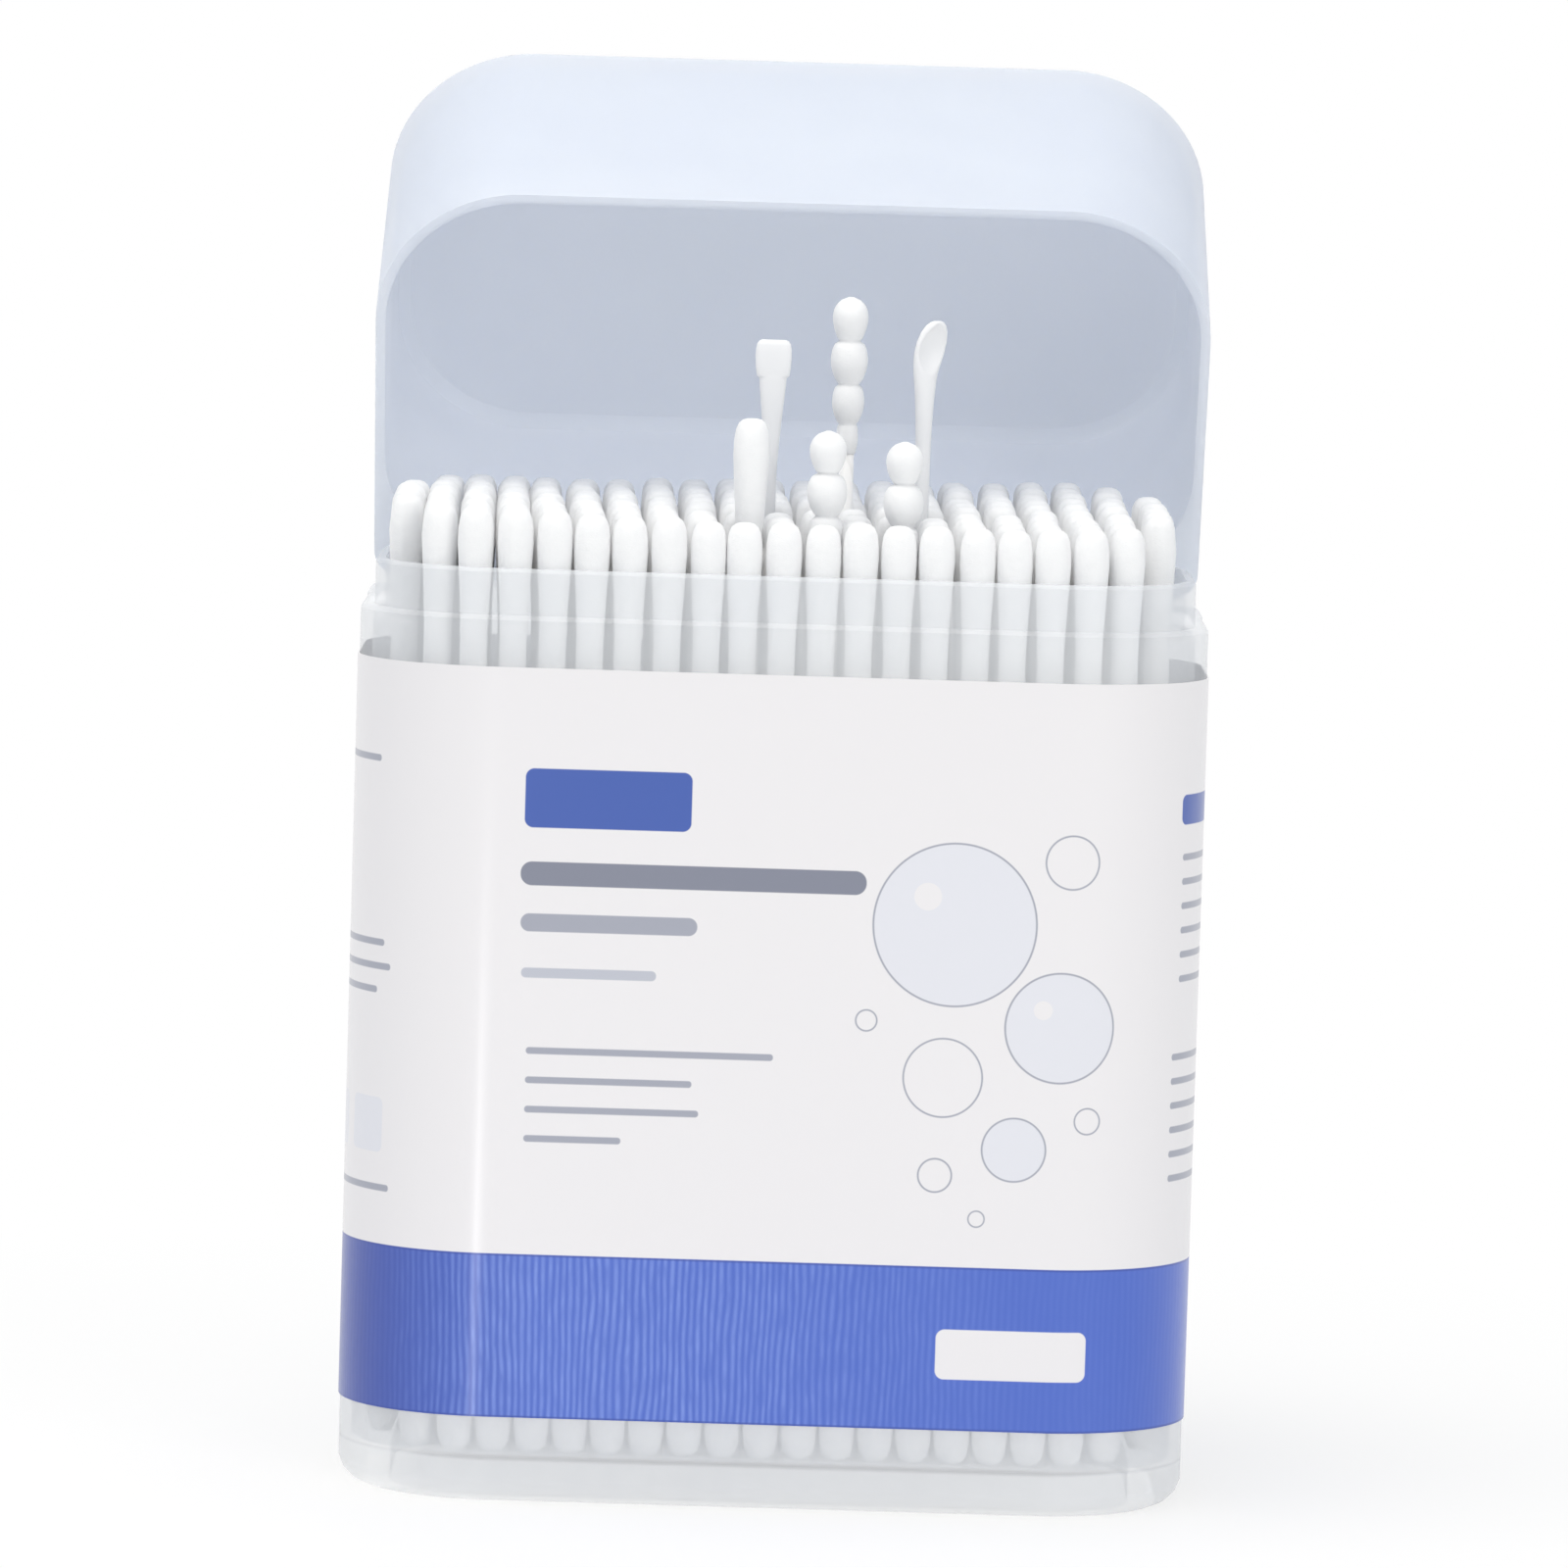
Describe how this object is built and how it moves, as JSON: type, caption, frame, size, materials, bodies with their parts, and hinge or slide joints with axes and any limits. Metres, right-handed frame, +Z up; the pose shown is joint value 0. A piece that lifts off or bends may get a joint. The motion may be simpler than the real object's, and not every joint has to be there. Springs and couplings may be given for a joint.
{
  "type": "cotton swab box",
  "caption": "Frosted flip-top box with a hinged lid and a wrap label, packed with upright cotton swabs, some with beaded, flat or scooped tips standing proud.",
  "frame": {"origin": "centre of the base in plan, on the level that the foot rim stands on", "axes": "+Z up along the swabs, +X to the viewer's right, -Y towards the viewer; the lid's hinge is at +Y"},
  "size_m": [0.0684, 0.0597, 0.1146],
  "materials": {
    "frosted_plastic": "frosted, translucent, as moulded",
    "label_film": "semi-gloss printed film, near white with a blue band along its foot",
    "cotton": "wound cotton, white",
    "paper_stick": "rolled paper, smooth",
    "moulded_stick": "moulded, smooth, white"
  },
  "bodies": {
    "box": {"box_body": "frosted_plastic", "wrap_label": "label_film", "swab_row_01": "cotton", "swab_row_02": "cotton", "swab_row_03": "cotton", "swab_row_04": "cotton", "swab_row_05": "cotton", "swab_row_06": "cotton", "swab_row_07": "cotton", "swab_row_08": "cotton", "swab_row_09": "cotton", "swab_row_10": "cotton", "round_swab_stick": "paper_stick", "round_swab_upper_head": "cotton", "round_swab_lower_head": "cotton", "beaded_swab_stick": "paper_stick", "beaded_swab_upper_head": "cotton", "beaded_swab_lower_head": "cotton", "side_beaded_swab_stick": "paper_stick", "side_beaded_swab_upper_head": "cotton", "side_beaded_swab_lower_head": "cotton", "tall_beaded_swab_stick": "paper_stick", "tall_beaded_swab_upper_head": "cotton", "tall_beaded_swab_lower_head": "cotton", "paddle_swab_stick": "moulded_stick", "paddle_swab_lower_head": "cotton", "scoop_swab_stick": "moulded_stick", "scoop_swab_lower_head": "cotton"},
    "lid": {"flip_lid": "frosted_plastic"}
  },
  "joints": [
    {"name": "lid_hinge", "type": "hinge", "parent": "box", "child": "lid", "pos_m": [0, 0.0183, 0.07087], "axis": [-1, 0, 0], "range_deg": [-64, 111]}
  ]
}
